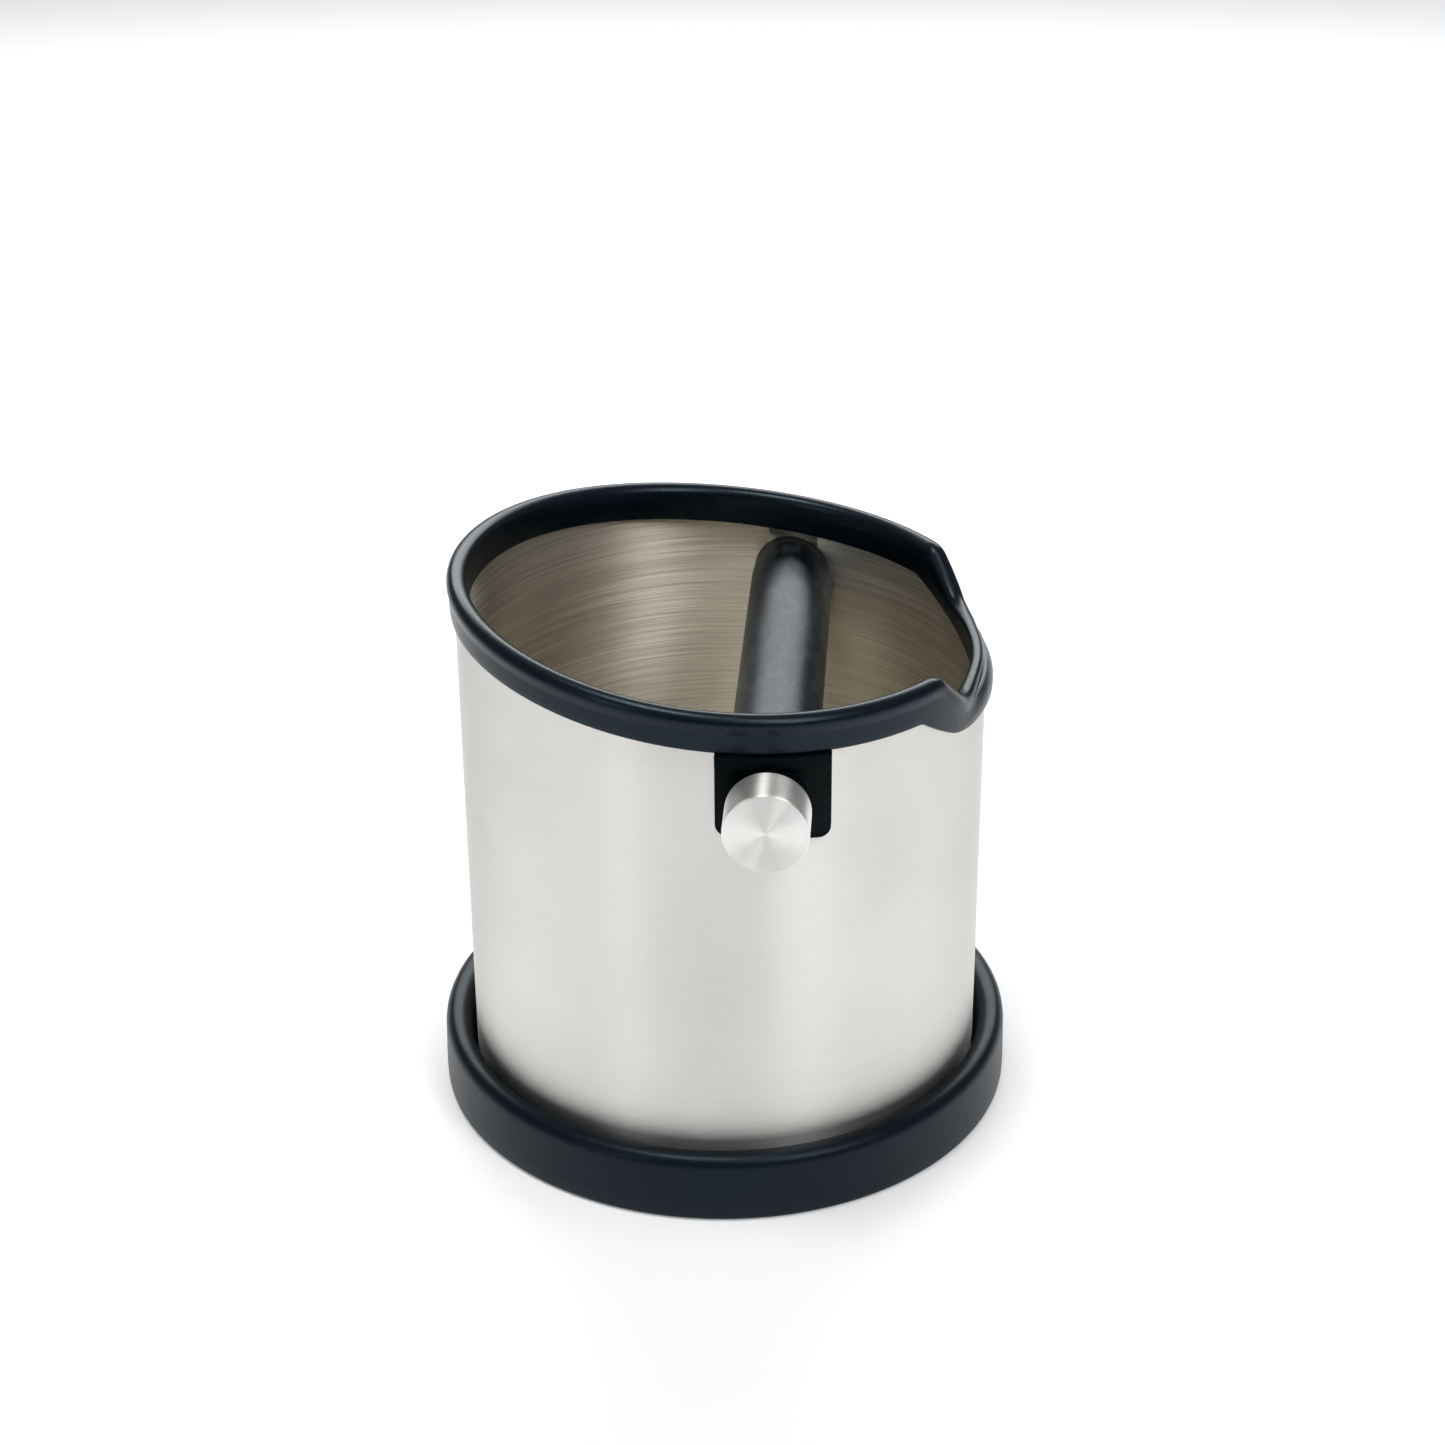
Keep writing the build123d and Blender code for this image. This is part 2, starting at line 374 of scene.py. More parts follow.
def turned_steel(name, tint, roughness):
    """Lathe-turned steel: fine rings round the bar's axis."""
    rings_outward, rings_along = 5200.0, 2600.0
    steel = Shader(name, tint, roughness, metallic=1.0)
    offset = steel.nodes.new("ShaderNodeVectorMath")
    offset.operation = "SUBTRACT"
    steel.links.new(steel.place, offset.inputs[0])
    offset.inputs[1].default_value = (BAR_X, 0, BAR_Z)
    split = steel.nodes.new("ShaderNodeSeparateXYZ")
    steel.links.new(offset.outputs["Vector"], split.inputs["Vector"])
    distance = steel.maths("SQRT", steel.maths(
        "ADD",
        steel.maths("MULTIPLY", split.outputs["X"], split.outputs["X"]),
        steel.maths("MULTIPLY", split.outputs["Z"], split.outputs["Z"]),
    ))
    join = steel.nodes.new("ShaderNodeCombineXYZ")
    steel.links.new(steel.maths("MULTIPLY", distance, rings_outward), join.inputs["X"])
    steel.links.new(steel.maths("MULTIPLY", split.outputs["Y"], rings_along), join.inputs["Y"])
    lines = steel.noise_at(join.outputs["Vector"], detail=2.0)
    smudge = steel.noise(260, detail=2.0)
    shade = steel.ramp(lines, 0.3, 0.7)
    steel.link(steel.mix(shade, scaled(tint, 0.93), scaled(tint, 1.05)), "Base Color")
    line_roughness = steel.ramp(lines, 0.3, 0.7, roughness - 0.04, roughness + 0.05)
    smudge_roughness = steel.ramp(smudge, 0.4, 0.7, 0.0, 0.03)
    steel.link(steel.maths("ADD", line_roughness, smudge_roughness), "Roughness")
    steel.brushed_round("Y", 0.9)
    steel.bump(lines, TURNING_DEPTH)
    return steel.material


DUST_COLOUR = (0.5, 0.5, 0.5)
RUBBER_SHEEN = (0.66, 0.86, 1.0, 1.0)


def moulded_rubber(name, colour, roughness, gloss=0.4, grain=1400, specks=0.0, wear=0.0, worn=None):
    """Moulded rubber: a fine matt skin with faint clouding.

    Specks is how strong its dust specks are. Wear is how strong its patches of worn colour are.
    """
    rubber = Shader(name, colour, roughness)
    skin = rubber.noise(grain, detail=3.0, roughness=0.6)
    cloud = rubber.noise(38, detail=3.0, roughness=0.55)
    tone = rubber.mix(rubber.ramp(cloud, 0.35, 0.68), scaled(colour, 0.82), scaled(colour, 1.2))
    if wear > 0:
        patch = rubber.noise((240, 110, 240), detail=4.0, roughness=0.62)
        tone = rubber.mix(rubber.ramp(patch, 0.46, 0.66, 0.0, wear), tone, worn)
    if specks > 0:
        cells = rubber.nodes.new("ShaderNodeTexVoronoi")
        cells.inputs["Scale"].default_value = 1.0
        rubber.links.new(rubber.stretched((330, 330, 330)), cells.inputs["Vector"])
        dot = rubber.ramp(cells.outputs["Distance"], 0.05, 0.09, 1.0, 0.0)
        picked = rubber.ramp(cells.outputs["Color"], 0.86, 0.9)
        dust = rubber.maths("MULTIPLY", rubber.maths("MULTIPLY", dot, picked), specks)
        tone = rubber.mix(dust, tone, DUST_COLOUR)
    rubber.link(tone, "Base Color")
    rubber.link(rubber.ramp(skin, 0.3, 0.7, roughness - 0.05, roughness + 0.06), "Roughness")
    rubber.bump(skin, SKIN_DEPTH, strength=0.5)
    rubber.set("Specular IOR Level", gloss)
    rubber.set("Specular Tint", RUBBER_SHEEN)
    return rubber.material


# --- Materials ----------------------------------------------------------------------------------

BLUE_BLACK = (0.0004, 0.003, 0.006)

STEEL_OUTSIDE = brushed_can_steel(
    "can_steel_outside",
    tint=(0.835, 0.812, 0.775),
    roughness=0.38,
    contrast=0.03,
    unevenness=0.03,
    edge=0.7,
    spread=0.20,
    fine=(40, 40, 3400),
    broad=(12, 12, 900),
)
# Painted light: the inside is the same sheet steel as the outside, but its tint is paler and warmer,
# painting the light that gathers and bounces round inside the can.
STEEL_INSIDE_PAINTED_LIGHT = brushed_can_steel(
    "can_steel_inside_painted_light",
    tint=(0.99, 0.93, 0.80),
    roughness=0.50,
    contrast=0.32,
    unevenness=0.12,
    edge=0.9,
    spread=0.12,
    fine=(30, 30, 3600),
    broad=(14, 14, 1300),
)
KNOB_STEEL = turned_steel("knob_turned_steel", (0.90, 0.89, 0.86), roughness=0.42)
ROD_STEEL = turned_steel("rod_drawn_steel", (0.55, 0.55, 0.55), roughness=0.3)
BOOT_RUBBER = moulded_rubber("boot_rubber", BLUE_BLACK, roughness=0.38, gloss=0.26, specks=0.5)
RIM_RUBBER = moulded_rubber("rim_rubber", BLUE_BLACK, roughness=0.31, gloss=0.34)
PAD_RUBBER = moulded_rubber("pad_rubber", (0.001, 0.003, 0.004), roughness=0.45, gloss=0.06)
SLEEVE_RUBBER = moulded_rubber(
    "sleeve_rubber",
    (0.001, 0.003, 0.006),
    roughness=0.38,
    gloss=0.32,
    wear=1.0,
    worn=(0.026, 0.032, 0.038),
)
NYLON = moulded_rubber("black_nylon", (0.010, 0.010, 0.012), roughness=0.45, grain=900)


# --- The mouth's outline ------------------------------------------------------------------------

# Heights against x, in millimetres, at the radius of the rim's crown. Every section of the rim takes
# its heights at its own angle.
CROWN_MID_R = 75.0
OUTLINE_END = 80.0
MIDDLE_BEND_R = 1000.0
SPOUT_START = math.radians(31)
SPOUT_FULL = math.radians(9)


def mouth_outline(high_side, middle, *spout):
    """A slope that bends slightly at the middle, followed by the spout's corners."""
    corners = [(-OUTLINE_END, high_side, 0), (0.0, middle, MIDDLE_BEND_R), *spout]
    return rounded(corners, steps=24)


MOUTH_TOP = mouth_outline(165.7, 154.9, (61.2, 152.0, 3.4), (68.6, 139.6, 4.0), (OUTLINE_END, 140.0, 0))
OUTER_EDGE = mouth_outline(154.9, 144.1, (56.2, 141.2, 2.5), (67.0, 130.0, 9.0), (OUTLINE_END, 130.2, 0))
INNER_EDGE = mouth_outline(154.8, 144.0, (57.7, 141.2, 1.0), (73.7, 130.3, 3.0), (OUTLINE_END, 130.0, 0))


def height_at(outline, x):
    """The height of an outline at x, between its points."""
    for (x0, z0), (x1, z1) in zip(outline, outline[1:]):
        if x0 <= x <= x1:
            return z0 + (z1 - z0) * (x - x0) / (x1 - x0)
    return outline[-1][1]


def height_round(outline, angle):
    """The height of an outline at an angle round the can."""
    return height_at(outline, CROWN_MID_R * math.cos(angle))


def spout_share(angle):
    """0 round most of the rim, rising smoothly to 1 in the spout."""
    off = abs(math.remainder(angle, TURN))
    share = min(1.0, max(0.0, (SPOUT_START - off) / (SPOUT_START - SPOUT_FULL)))
    return share * share * (3 - 2 * share)


# --- Can ----------------------------------------------------------------------------------------

WALL_SEGMENTS = 384
WALL_SHARES = (0.02, 0.25, 0.5, 0.75, 0.98)
WALL_LIP = 0.25 * MM
# Millimetres from the rim's top down to the steel's edge.
STEEL_DROP = 3.5
HOLE_R = 7.0 * MM
HOLE_REACH = 100 * MM

FLOOR_SHEET = 1.2 * MM
FLOOR_WELD = 0.7 * MM
FLOOR_RING_MID_R = 55.0 * MM
FLOOR_RING_FOOT = 3.8 * MM
FLOOR_RING_CREST = 2.2 * MM
FLOOR_RING_ROUND = 0.8 * MM


def wall_section(angle):
    """The wall's closed section at an angle, with a bevelled top edge."""
    bottom = WALL_LOW.z
    top = (height_round(MOUTH_TOP, angle) - STEEL_DROP) * MM
    heights = [bottom + (top - bottom) * share for share in WALL_SHARES]
    return [
        *[(CAN_R, z) for z in heights],
        (CAN_R, top - WALL_LIP),
        (CAN_R - WALL_LIP, top),
        (CAN_BORE_R + WALL_LIP, top),
        (CAN_BORE_R, top - WALL_LIP),
        *[(CAN_BORE_R, z) for z in reversed(heights)],
        (CAN_BORE_R, bottom),
        (CAN_R, bottom),
    ]


def make_can_wall():
    verts = []
    for step in range(WALL_SEGMENTS):
        angle = TURN * step / WALL_SEGMENTS
        for radius, height in wall_section(angle):
            verts.append((radius * math.cos(angle), radius * math.sin(angle), height))
    columns = len(verts) // WALL_SEGMENTS
    wall = finished_mesh("can_shell", verts, grid_faces(WALL_SEGMENTS, columns, True, True))
    cut_or_join(wall, onto_bar(cylinder_tool(HOLE_R, -HOLE_REACH, HOLE_REACH)), "DIFFERENCE")
    dress(wall, "can", "can_steel", "can_wall", STEEL_OUTSIDE, STEEL_INSIDE_PAINTED_LIGHT)
    smooth(wall.data)
    # Inward faces take the inside steel, whose paler, warmer tint is painted light.
    for polygon in wall.data.polygons:
        centre = polygon.center
        outward = polygon.normal.x * centre.x + polygon.normal.y * centre.y
        polygon.material_index = 0 if outward > 0 else 1


def make_can_floor():
    """The pressed bottom: a flat disc with a raised ring, and a weld fillet against the wall."""
    low, top = FLOOR_LOW.z, FLOOR_LOW.z + FLOOR_SHEET
    ring_top = FLOOR_HIGH.z
    corners = [
        (0.0, low, 0),
        (CAN_BORE_R, low, 0),
        (CAN_BORE_R, top + FLOOR_WELD, 0),
        (CAN_BORE_R - FLOOR_WELD, top, FLOOR_WELD * 0.6),
        (FLOOR_RING_MID_R + FLOOR_RING_FOOT, top, FLOOR_RING_ROUND),
        (FLOOR_RING_MID_R + FLOOR_RING_CREST, ring_top, FLOOR_RING_ROUND),
        (FLOOR_RING_MID_R - FLOOR_RING_CREST, ring_top, FLOOR_RING_ROUND),
        (FLOOR_RING_MID_R - FLOOR_RING_FOOT, top, FLOOR_RING_ROUND),
        (0.0, top, 0),
    ]
    # The floor takes the inside steel, whose paler, warmer tint is painted light.
    dress(lathe("can_bottom", rounded(corners)), "can", "can_steel", "can_floor", STEEL_INSIDE_PAINTED_LIGHT)


# --- Boot ---------------------------------------------------------------------------------------

BOOT_SEGMENTS = 256
# The boot stands on round lands, each from an inner to an outer radius; the last runs out to its foot.
BOOT_LANDS = ((20.0 * MM, 28.0 * MM), (44.0 * MM, 52.0 * MM))
BOOT_LAST_LAND_R = 68.0 * MM
BOOT_LAND_HEIGHT = 1.0 * MM
BOOT_LAND_ROUND = 0.3 * MM
BOOT_LIP_R = 77.2 * MM
BOOT_THROAT_R = 75.8 * MM
BOOT_THROAT_HEIGHT = 10.3 * MM
BOOT_SEAT_R = 75.4 * MM
BOOT_SEAT_HEIGHT = 9.5 * MM
BOOT_FLOOR_TOP = 5.0 * MM


def make_boot():
    outer = BOOT_HIGH.x
    lip_top = BOOT_HIGH.z - 0.05 * MM
    corners = [(0.0, BOOT_LAND_HEIGHT, 0)]
    for inner_r, outer_r in BOOT_LANDS:
        corners += [
            (inner_r, BOOT_LAND_HEIGHT, BOOT_LAND_ROUND),
            (inner_r, 0.0, BOOT_LAND_ROUND),
            (outer_r, 0.0, BOOT_LAND_ROUND),
            (outer_r, BOOT_LAND_HEIGHT, BOOT_LAND_ROUND),
        ]
    corners += [
        (BOOT_LAST_LAND_R, BOOT_LAND_HEIGHT, BOOT_LAND_ROUND),
        (BOOT_LAST_LAND_R, 0.0, BOOT_LAND_ROUND),
        (outer - 0.1 * MM, 0.0, 1.6 * MM),
        (outer, 5.0 * MM, 8.0 * MM),
        (outer - 0.4 * MM, lip_top, 3.6 * MM),
        (BOOT_LIP_R, lip_top, 3.2 * MM),
        (BOOT_THROAT_R, BOOT_THROAT_HEIGHT, 0.8 * MM),
        (BOOT_SEAT_R, BOOT_SEAT_HEIGHT, 0.6 * MM),
        (BOOT_SEAT_R, BOOT_FLOOR_TOP, 0.5 * MM),
        (0.0, BOOT_FLOOR_TOP, 0),
    ]
    boot = lathe("boot_tray", rounded(corners), BOOT_SEGMENTS)
    dress(boot, "boot", "boot_rubber", "base_boot", BOOT_RUBBER)


# --- Rim ----------------------------------------------------------------------------------------

# The rim's section in millimetres. A pair holds the plain rim's value, then the spout's.
SLOT_OUTER_R = 75.3
SLOT_INNER_R = 73.7
SLOT_DROP = 3.1
SKIRT_R = 71.0
SKIRT_TOP_DROP = (4.6, 3.6)
SKIRT_SHOULDER_R = (71.2, 70.7)
CROWN_R = (2.85, 1.9)
CROWN_CENTRE_R = (74.05, 72.3)
CROWN_START_DEGREES = (0, -28)
FACE_R = (76.4, 77.1)
FACE_SWELL_RISE = (2.0, 3.2)
FACE_SWELL_ROUND = (4.0, 5.0)
SHOULDER_R = (76.4, 75.4)
SHOULDER_ROUND = (3.0, 2.0)
SHOULDER_DROP = 5.2
SHOULDER_RISE = 5.4
SHOULDER_END_DEGREES = (-4, -35)

# Sections stand closer together within this angle of the spout, where the outline turns quickly.
SPOUT_REACH = math.radians(50)
SPOUT_STEPS = 240
PLAIN_STEPS = 300


def rim_section(angle):
    """The rim's closed section at an angle, in millimetres.

    It is an upside-down U with a fully rounded top. In the spout the round top narrows and moves
    inwards, and the face swells out below it.
    """
    top = height_round(MOUTH_TOP, angle)
    outer_low = height_round(OUTER_EDGE, angle)
    inner_low = height_round(INNER_EDGE, angle)
    share = spout_share(angle)

    def between(pair):
        plain, spout = pair
        return plain + (spout - plain) * share

    crown_r = between(CROWN_R)
    crown_r_mid = between(CROWN_CENTRE_R)
    crown_height = top - crown_r
    face = between(FACE_R)

    def on_crown(degrees):
        turn = math.radians(degrees)
        return (crown_r_mid + crown_r * math.cos(turn), crown_height + crown_r * math.sin(turn))

    shoulder_height = between((top - SHOULDER_DROP, outer_low + SHOULDER_RISE))
    outer_face = rounded([
        (SLOT_OUTER_R, outer_low, 0),
        (face - 0.1, outer_low, 0.5),
        (face, outer_low + between(FACE_SWELL_RISE), between(FACE_SWELL_ROUND)),
        (between(SHOULDER_R), shoulder_height, between(SHOULDER_ROUND)),
        (*on_crown(between(SHOULDER_END_DEGREES)), 0),
    ], steps=5)
    crown_start = between(CROWN_START_DEGREES)
    crown = [Vector(on_crown(crown_start + turn)) for turn in range(0, 180, 9)]
    inner_face = rounded([
        (between(SKIRT_SHOULDER_R), crown_height, 0),
        (SKIRT_R, top - between(SKIRT_TOP_DROP), 2.0),
        (SKIRT_R, inner_low, 0.5),
        (SLOT_INNER_R, inner_low, 0.2),
        (SLOT_INNER_R, top - SLOT_DROP, 0.2),
        (SLOT_OUTER_R, top - SLOT_DROP, 0.2),
        (SLOT_OUTER_R, outer_low + 0.3, 0),
    ], steps=5)
    return outer_face + crown + inner_face


def make_rim():
    angles = []
    for step in range(SPOUT_STEPS):
        angles.append(-SPOUT_REACH + 2 * SPOUT_REACH * step / SPOUT_STEPS)
    for step in range(PLAIN_STEPS):
        angles.append(SPOUT_REACH + (TURN - 2 * SPOUT_REACH) * step / PLAIN_STEPS)
    verts = []
    for angle in angles:
        for radius, height in rim_section(angle):
            verts.append((radius * MM * math.cos(angle), radius * MM * math.sin(angle), height * MM))
    columns = len(verts) // len(angles)
    rim = finished_mesh("rim_moulding", verts, grid_faces(len(angles), columns, True, True))
    dress(rim, "rim", "rim_rubber", "rubber_rim", RIM_RUBBER)


# --- Pads ---------------------------------------------------------------------------------------

# In millimetres. The pad is a curved plate with a thicker head under the rim and a boss for the bar.
PAD_COLUMNS = 64
PAD_WALL_GAP = 0.02
PAD_TOP_GAP = 0.3
PAD_FOOT_RISE = 3.8
PAD_THICKNESS = 2.0
PAD_CORNER = 3.2
PAD_BEVEL = 0.45
HEAD_DEPTH = 4.2
HEAD_SLANT = 2.0
HEAD_THICKNESS = 2.5
HEAD_CORNER = 0.4
HEAD_BEVEL = 0.3
BOSS_R = 10.6
BOSS_START = 66
BOSS_END = 76.9
BOSS_ROUND = 0.6
BOSS_SEGMENTS = 128


def pad_layer(name, low_left, low_right, thickness, corner, bevel):
    """A curved plate on the can's outside, whose top follows the rim's lower edge, in millimetres."""
    left, right = PAD_LOW.x / MM, PAD_HIGH.x / MM
    inner_r, outer_r = CAN_R / MM + PAD_WALL_GAP, CAN_R / MM + thickness
    verts = []
    for step in range(PAD_COLUMNS + 1):
        turn = math.pi * step / PAD_COLUMNS
        x = (left + right) / 2 - (right - left) / 2 * math.cos(turn)
        edge = min(x - left, right - x)
        low = low_left + (low_right - low_left) * (x - left) / (right - left)
        if edge < corner:
            low += corner - math.sqrt(max(0.0, corner ** 2 - (corner - edge) ** 2))
        angle = math.acos(x / outer_r)
        high = height_round(OUTER_EDGE, angle) - PAD_TOP_GAP
        for radius, z in ((inner_r, low), (outer_r, low), (outer_r, high), (inner_r, high)):
            verts.append((x * MM, math.sqrt(radius ** 2 - x ** 2) * MM, z * MM))
    faces = grid_faces(PAD_COLUMNS + 1, 4, False, True)
    last = len(verts) - 4
    faces.append((3, 2, 1, 0))
    faces.append((last, last + 1, last + 2, last + 3))
    plate = finished_mesh(name, verts, faces)
    soften = plate.modifiers.new("soften", "BEVEL")
    soften.width = bevel * MM
    soften.segments = 4
    soften.limit_method = "ANGLE"
    soften.angle_limit = math.radians(35)
    return apply_modifiers(plate)


def make_pad_boss():
    """The round boss that carries the knob's washer, cut off where it meets the can's wall."""
    corners = [
        (0.0, BOSS_START * MM, 0),
        (BOSS_R * MM, BOSS_START * MM, 0),
        (BOSS_R * MM, BOSS_END * MM, BOSS_ROUND * MM),
        (0.0, BOSS_END * MM, 0),
    ]
    boss = onto_bar(lathe("tool", rounded(corners), BOSS_SEGMENTS))
    can = cylinder_tool(CAN_R + PAD_WALL_GAP * MM, 90 * MM, 160 * MM, WALL_SEGMENTS)
    return cut_or_join(boss, can, "DIFFERENCE")


def make_rear_pad():
    foot = PAD_LOW.z / MM
    pad = pad_layer("rear_pad_moulding", foot + PAD_FOOT_RISE, foot, PAD_THICKNESS, PAD_CORNER, PAD_BEVEL)
    head_low = height_round(OUTER_EDGE, math.pi / 2) - HEAD_DEPTH
    head = pad_layer("tool", head_low, head_low - HEAD_SLANT, HEAD_THICKNESS, HEAD_CORNER, HEAD_BEVEL)
    cut_or_join(pad, head, "UNION")
    cut_or_join(pad, make_pad_boss(), "UNION")
    return cut_or_join(pad, onto_bar(cylinder_tool(HOLE_R, 50 * MM, HOLE_REACH)), "DIFFERENCE")


def make_pads():
    rear = make_rear_pad()
    front = at_front(rear, "front_pad_moulding")
    for piece, node in ((rear, "rear_pad"), (front, "front_pad")):
        dress(piece, "can", "rim_rubber", node, PAD_RUBBER)
        smooth(piece.data)
        keep_sharp(piece, 40)


# --- Knock bar ----------------------------------------------------------------------------------

SLEEVE_END_ROUND = 1.2 * MM
SLEEVE_TAPER = 0.1 * MM
SLEEVE_TAPER_LENGTH = 6 * MM
SLEEVE_TAPER_ROUND = 30 * MM
ROD_BORE_R = 3.05 * MM
ROD_BORE_DEPTH = 14 * MM


def make_sleeve():
    half = SLEEVE_HIGH.y
    corners = [
        (ROD_R, -half, 0),
        (SLEEVE_R - SLEEVE_TAPER, -half, SLEEVE_END_ROUND),
        (SLEEVE_R, -half + SLEEVE_TAPER_LENGTH, SLEEVE_TAPER_ROUND),
        (SLEEVE_R, half - SLEEVE_TAPER_LENGTH, SLEEVE_TAPER_ROUND),
        (SLEEVE_R - SLEEVE_TAPER, half, SLEEVE_END_ROUND),
        (ROD_R, half, 0),
    ]
    sleeve = onto_bar(lathe("bar_grip", rounded(corners), 160, closed=True))
    dress(sleeve, "bar", "sleeve_rubber", "bar_sleeve", SLEEVE_RUBBER)


def make_rod():
    half = ROD_HIGH.y
    bore_end = half - ROD_BORE_DEPTH
    corners = [
        (0.0, -bore_end, 0),
        (ROD_BORE_R, -bore_end, 0),
        (ROD_BORE_R, -half, 0.3 * MM),
        (ROD_R, -half, 0.5 * MM),
        (ROD_R, half, 0.5 * MM),
        (ROD_BORE_R, half, 0.3 * MM),
        (ROD_BORE_R, bore_end, 0),
        (0.0, bore_end, 0),
    ]
    rod = onto_bar(lathe("bar_core", rounded(corners, steps=3), 96))
    keep_sharp(rod, 40)
    dress(rod, "bar", "rod_steel", "bar_rod", ROD_STEEL)


# --- Knobs, studs and washers -------------------------------------------------------------------

KNOB_BEVEL = 0.3 * MM
KNOB_BORE_DEPTH = 8.0 * MM
THREAD_PITCH = 1.0 * MM
THREAD_DEPTH = 0.5 * MM
THREAD_LEAD = 0.6 * MM
THREAD_LEAD_DEPTH = 0.55 * MM
THREAD_ROW = 0.1 * MM
THREAD_SIDES = 40
WASHER_BORE_R = 3.3 * MM
WASHER_EDGE = 0.15 * MM


def make_rear_knob():
    near, far = KNOB_LOW.y, KNOB_HIGH.y
    corners = [
        (0.0, near + KNOB_BORE_DEPTH, 0),
        (STUD_R, near + KNOB_BORE_DEPTH, 0),
        (STUD_R, near, 0),
        (KNOB_R - KNOB_BEVEL, near, 0.15 * MM),
        (KNOB_R, near + KNOB_BEVEL, 0.2 * MM),
        (KNOB_R, far - KNOB_BEVEL, 0.12 * MM),
        (KNOB_R - KNOB_BEVEL, far, 0.12 * MM),
        (0.0, far, 0),
    ]
    knob = onto_bar(lathe("rear_knob_turned", rounded(corners, steps=5), 256))
    keep_sharp(knob, 50)
    return knob


def make_rear_stud():
    """A stud with a real helical thread, tapered at both ends."""
    near, far = STUD_LOW.y, STUD_HIGH.y
    rows = int(round((far - near) / THREAD_ROW)) + 1
    verts = []
    for row in range(rows):
        y = near + row * THREAD_ROW
        taper = min(1.0, (y - near) / THREAD_LEAD, (far - y) / THREAD_LEAD)
        for side in range(THREAD_SIDES):
            angle = TURN * side / THREAD_SIDES
            phase = (y / THREAD_PITCH - side / THREAD_SIDES) % 1.0
            tooth = abs(2 * phase - 1)
            radius = STUD_R - THREAD_DEPTH * (1 - tooth)
            radius = min(radius, STUD_R - THREAD_LEAD_DEPTH * (1 - taper))
            verts.append((BAR_X + radius * math.cos(angle), y, BAR_Z + radius * math.sin(angle)))
    faces = grid_faces(rows, THREAD_SIDES, False, True)
    faces.append(tuple(range(THREAD_SIDES)))
    faces.append(tuple(reversed(range((rows - 1) * THREAD_SIDES, rows * THREAD_SIDES))))
    stud = finished_mesh("rear_stud_thread", verts, faces)
    keep_sharp(stud, 60)
    return stud


def make_rear_washer():
    near, far = WASHER_LOW.y, WASHER_HIGH.y
    corners = [
        (WASHER_BORE_R, near, WASHER_EDGE),
        (WASHER_R, near, WASHER_EDGE),
        (WASHER_R, far, WASHER_EDGE),
        (WASHER_BORE_R, far, WASHER_EDGE),
    ]
    return onto_bar(lathe("rear_washer_ring", rounded(corners, steps=3, closed=True), 128, closed=True))


def make_end_fittings():
    rears = (
        (make_rear_knob(), "knob", "knob_steel", KNOB_STEEL),
        (make_rear_stud(), "stud", "rod_steel", ROD_STEEL),
        (make_rear_washer(), "washer", "rod_steel", ROD_STEEL),
    )
    for rear, kind, slot, material in rears:
        front = at_front(rear, rear.name.replace("rear", "front"))
        dress(rear, "rear_knob_set", slot, "rear_" + kind, material)
        dress(front, "front_knob_set", slot, "front_" + kind, material)


def finish_bushes():
    """The bushes and spacers keep their CAD meshes, and take the nylon material."""
    for end in ("front", "rear"):
        for kind in ("bush", "spacer"):
            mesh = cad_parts[f"{end}_{kind}"].data
            mesh.materials.clear()
            mesh.materials.append(NYLON)


# --- Camera -------------------------------------------------------------------------------------

CAMERA_AZIMUTH = math.radians(3.93)
CAMERA_ELEVATION = math.radians(34.19)
CAMERA_DISTANCE = 0.8900
CAMERA_AIM = Vector((0, 0, 0.1138))
CAMERA_ROLL = math.radians(-0.45)
CAMERA_LENS = 71.9
CAMERA_SENSOR = 36


def make_camera():
    data = bpy.data.cameras.new("camera")
    data.lens = CAMERA_LENS
    data.sensor_width = CAMERA_SENSOR
    camera = bpy.data.objects.new("camera", data)
    bpy.context.scene.collection.objects.link(camera)
    level = math.cos(CAMERA_ELEVATION)
    camera.location = CAMERA_DISTANCE * Vector((
        math.sin(CAMERA_AZIMUTH) * level,
        -math.cos(CAMERA_AZIMUTH) * level,
        math.sin(CAMERA_ELEVATION),
    ))
    look = (CAMERA_AIM - camera.location).to_track_quat("-Z", "Y").to_matrix().to_4x4()
    camera.rotation_euler = (look @ Matrix.Rotation(CAMERA_ROLL, 4, "Z")).to_euler()
    bpy.context.scene.camera = camera


# --- Studio -------------------------------------------------------------------------------------

ROOM_BASE = 0.05
ROOM_SIDES = 0.14
ROOM_ABOVE = 0.15
PAPER_HALF = 12.0
PAPER_GLOW = 0.25
LAMP_AIM = Vector((0, 0, 0.1))

# Name, degrees to the right of the camera's side, degrees up, distance, width and height, radiance.
SOFTBOXES = (
    ("overhead_softbox", -40, 78, 1.20, (0.40, 0.30), 14.0),
    ("back_softbox", 182, 32, 1.30, (1.50, 0.46), 6.0),
    ("left_softbox", -37, 24, 1.40, (0.28, 0.70), 1.9),
    ("right_softbox", 41, 48, 1.40, (0.36, 0.80), 6.6),
)


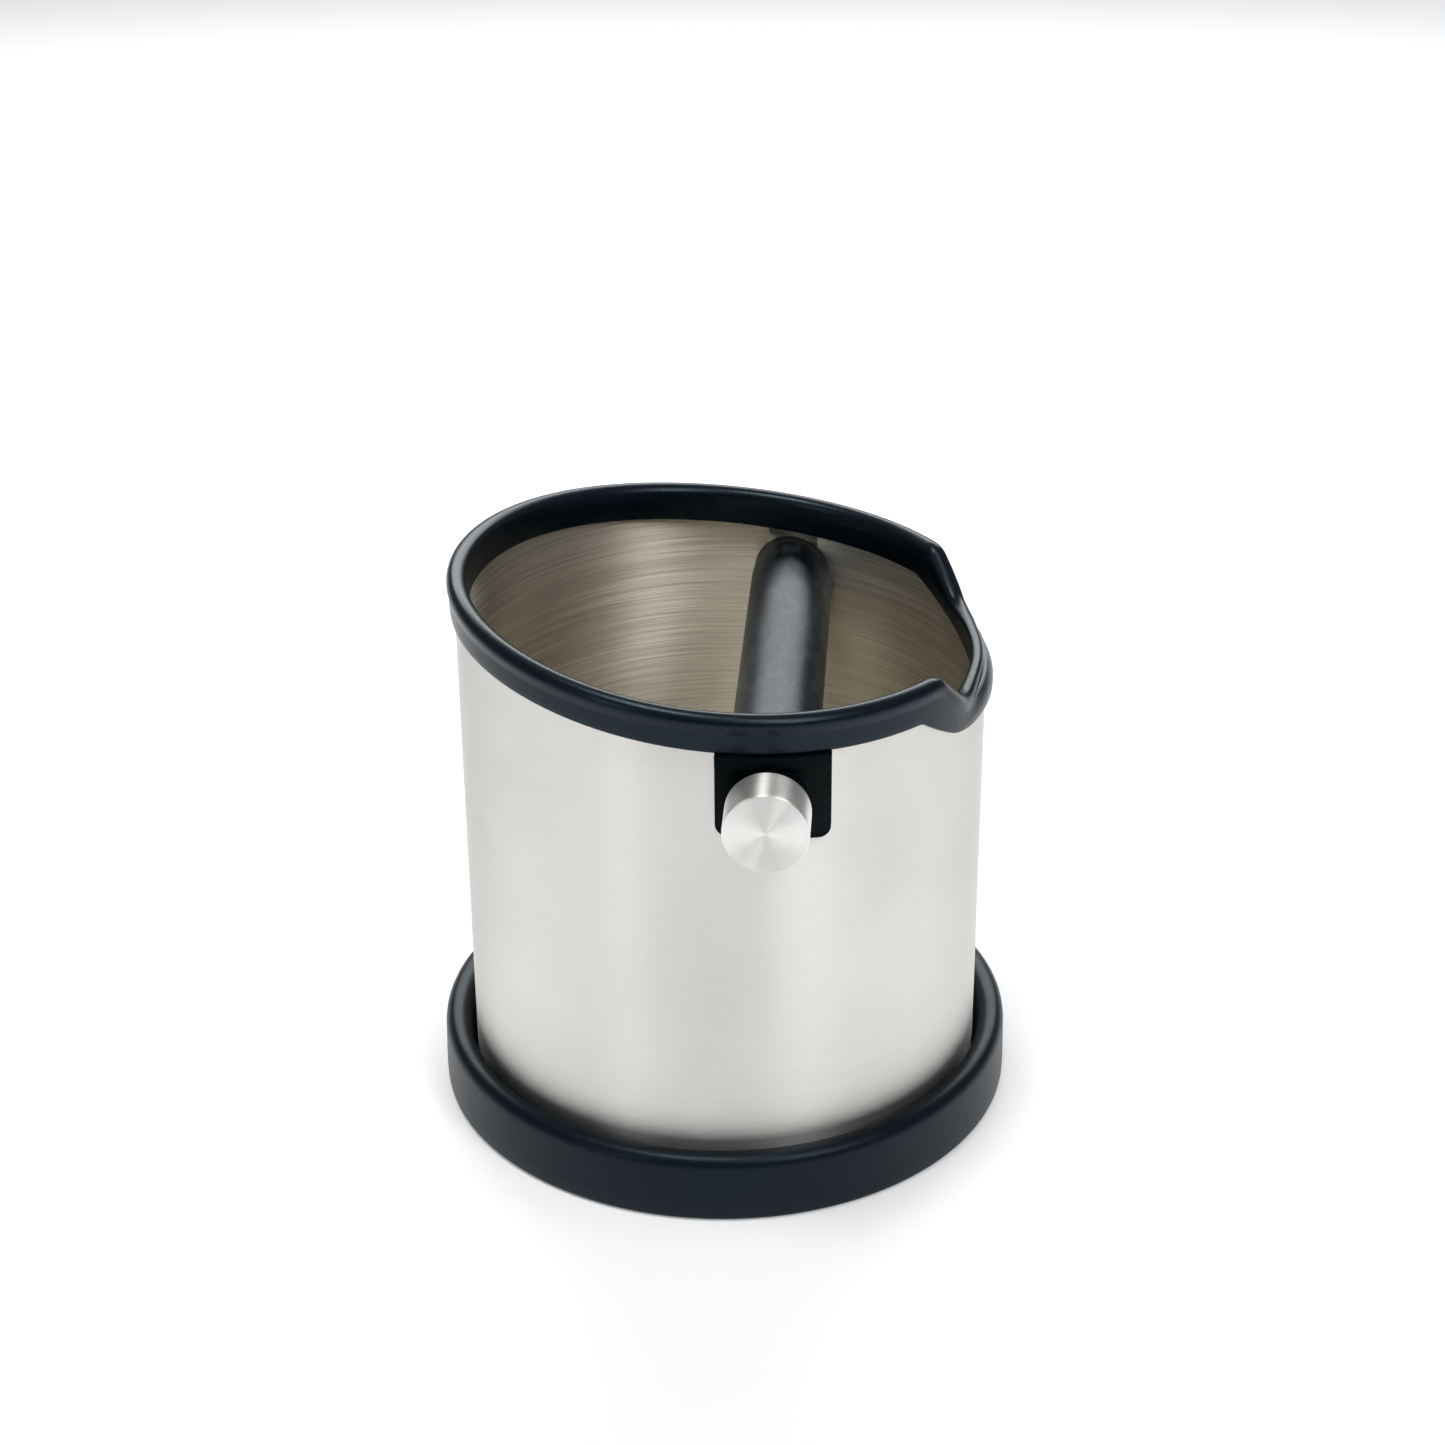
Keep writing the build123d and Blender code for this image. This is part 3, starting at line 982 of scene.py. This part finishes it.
def make_world(scene):
    """A dim room: darkest towards the camera, and paler at both sides and overhead."""
    world = bpy.data.worlds.new("studio")
    world.use_nodes = True
    tree = world.node_tree
    background = tree.nodes["Background"]
    split = tree.nodes.new("ShaderNodeSeparateXYZ")
    place = tree.nodes.new("ShaderNodeTexCoord").outputs["Generated"]
    tree.links.new(place, split.inputs["Vector"])
    across, up = split.outputs["X"], split.outputs["Z"]
    sides = maths_node(tree, "MULTIPLY", maths_node(tree, "MULTIPLY", across, across), ROOM_SIDES)
    above = maths_node(tree, "MULTIPLY", maths_node(tree, "MAXIMUM", up, 0.0), ROOM_ABOVE)
    strength = maths_node(tree, "ADD", maths_node(tree, "ADD", sides, above), ROOM_BASE)
    tree.links.new(strength, background.inputs["Strength"])
    background.inputs["Color"].default_value = (1.0, 1.0, 1.0, 1.0)
    scene.world = world


def make_floor(scene):
    """A wide sheet of pale paper that glows a little, so that it stays white to the edges."""
    mesh = bpy.data.meshes.new("floor")
    half = PAPER_HALF
    corners = [(-half, -half, 0), (half, -half, 0), (half, half, 0), (-half, half, 0)]
    mesh.from_pydata(corners, [], [(0, 1, 2, 3)])
    floor = bpy.data.objects.new("floor", mesh)
    scene.collection.objects.link(floor)
    paper = Shader("floor_paper", (0.90, 0.91, 0.92), roughness=0.9)
    paper.link(paper.ramp(paper.noise(900, detail=3.0), 0.3, 0.7, 0.86, 0.94), "Roughness")
    paper.set("Emission Color", (0.97, 0.985, 1.0, 1.0))
    paper.set("Emission Strength", PAPER_GLOW)
    mesh.materials.append(paper.material)


def softbox(name, azimuth, elevation, distance, size, radiance):
    """A rectangular lamp facing the can; azimuth is measured to the right of the camera's side."""
    width, height = size
    around = math.radians(azimuth)
    up = math.radians(elevation)
    away = Vector((math.cos(up) * math.sin(around), -math.cos(up) * math.cos(around), math.sin(up)))
    data = bpy.data.lights.new(name, "AREA")
    data.shape = "RECTANGLE"
    data.size = width
    data.size_y = height
    data.energy = radiance * math.pi * width * height
    lamp = bpy.data.objects.new(name, data)
    lamp.location = away * distance + LAMP_AIM
    lamp.rotation_euler = away.to_track_quat("Z", "Y").to_euler()
    bpy.context.scene.collection.objects.link(lamp)


def make_studio():
    scene = bpy.context.scene
    scene.view_settings.view_transform = "Standard"
    make_world(scene)
    make_floor(scene)
    for settings in SOFTBOXES:
        softbox(*settings)


# --- Build everything ---------------------------------------------------------------------------

make_can_wall()
make_can_floor()
make_boot()
make_rim()
make_pads()
make_sleeve()
make_rod()
make_end_fittings()
finish_bushes()
make_camera()
make_studio()
